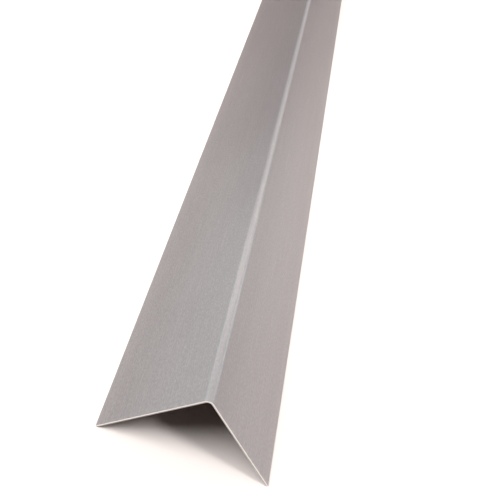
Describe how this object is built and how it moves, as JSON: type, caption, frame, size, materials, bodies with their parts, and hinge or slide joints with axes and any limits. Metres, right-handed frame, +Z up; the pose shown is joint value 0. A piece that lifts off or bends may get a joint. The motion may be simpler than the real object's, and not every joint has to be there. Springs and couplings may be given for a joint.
{
  "type": "corner guard moulding",
  "caption": "Bent sheet-metal corner guard with two equal wings at a right angle and a small rounded bend, satin finish.",
  "frame": {"origin": "on the floor under the middle of the guard, as it lies on its two long edges", "axes": "+Y along the bend, +X across the guard, +Z up through the bend's outside"},
  "size_m": [0.1256, 1.2192, 0.0619],
  "materials": {
    "satin_steel": "satin stainless steel, fine grain along the length, bright sheared edges"
  },
  "bodies": {
    "root": {"corner_guard": "satin_steel"}
  },
  "joints": []
}
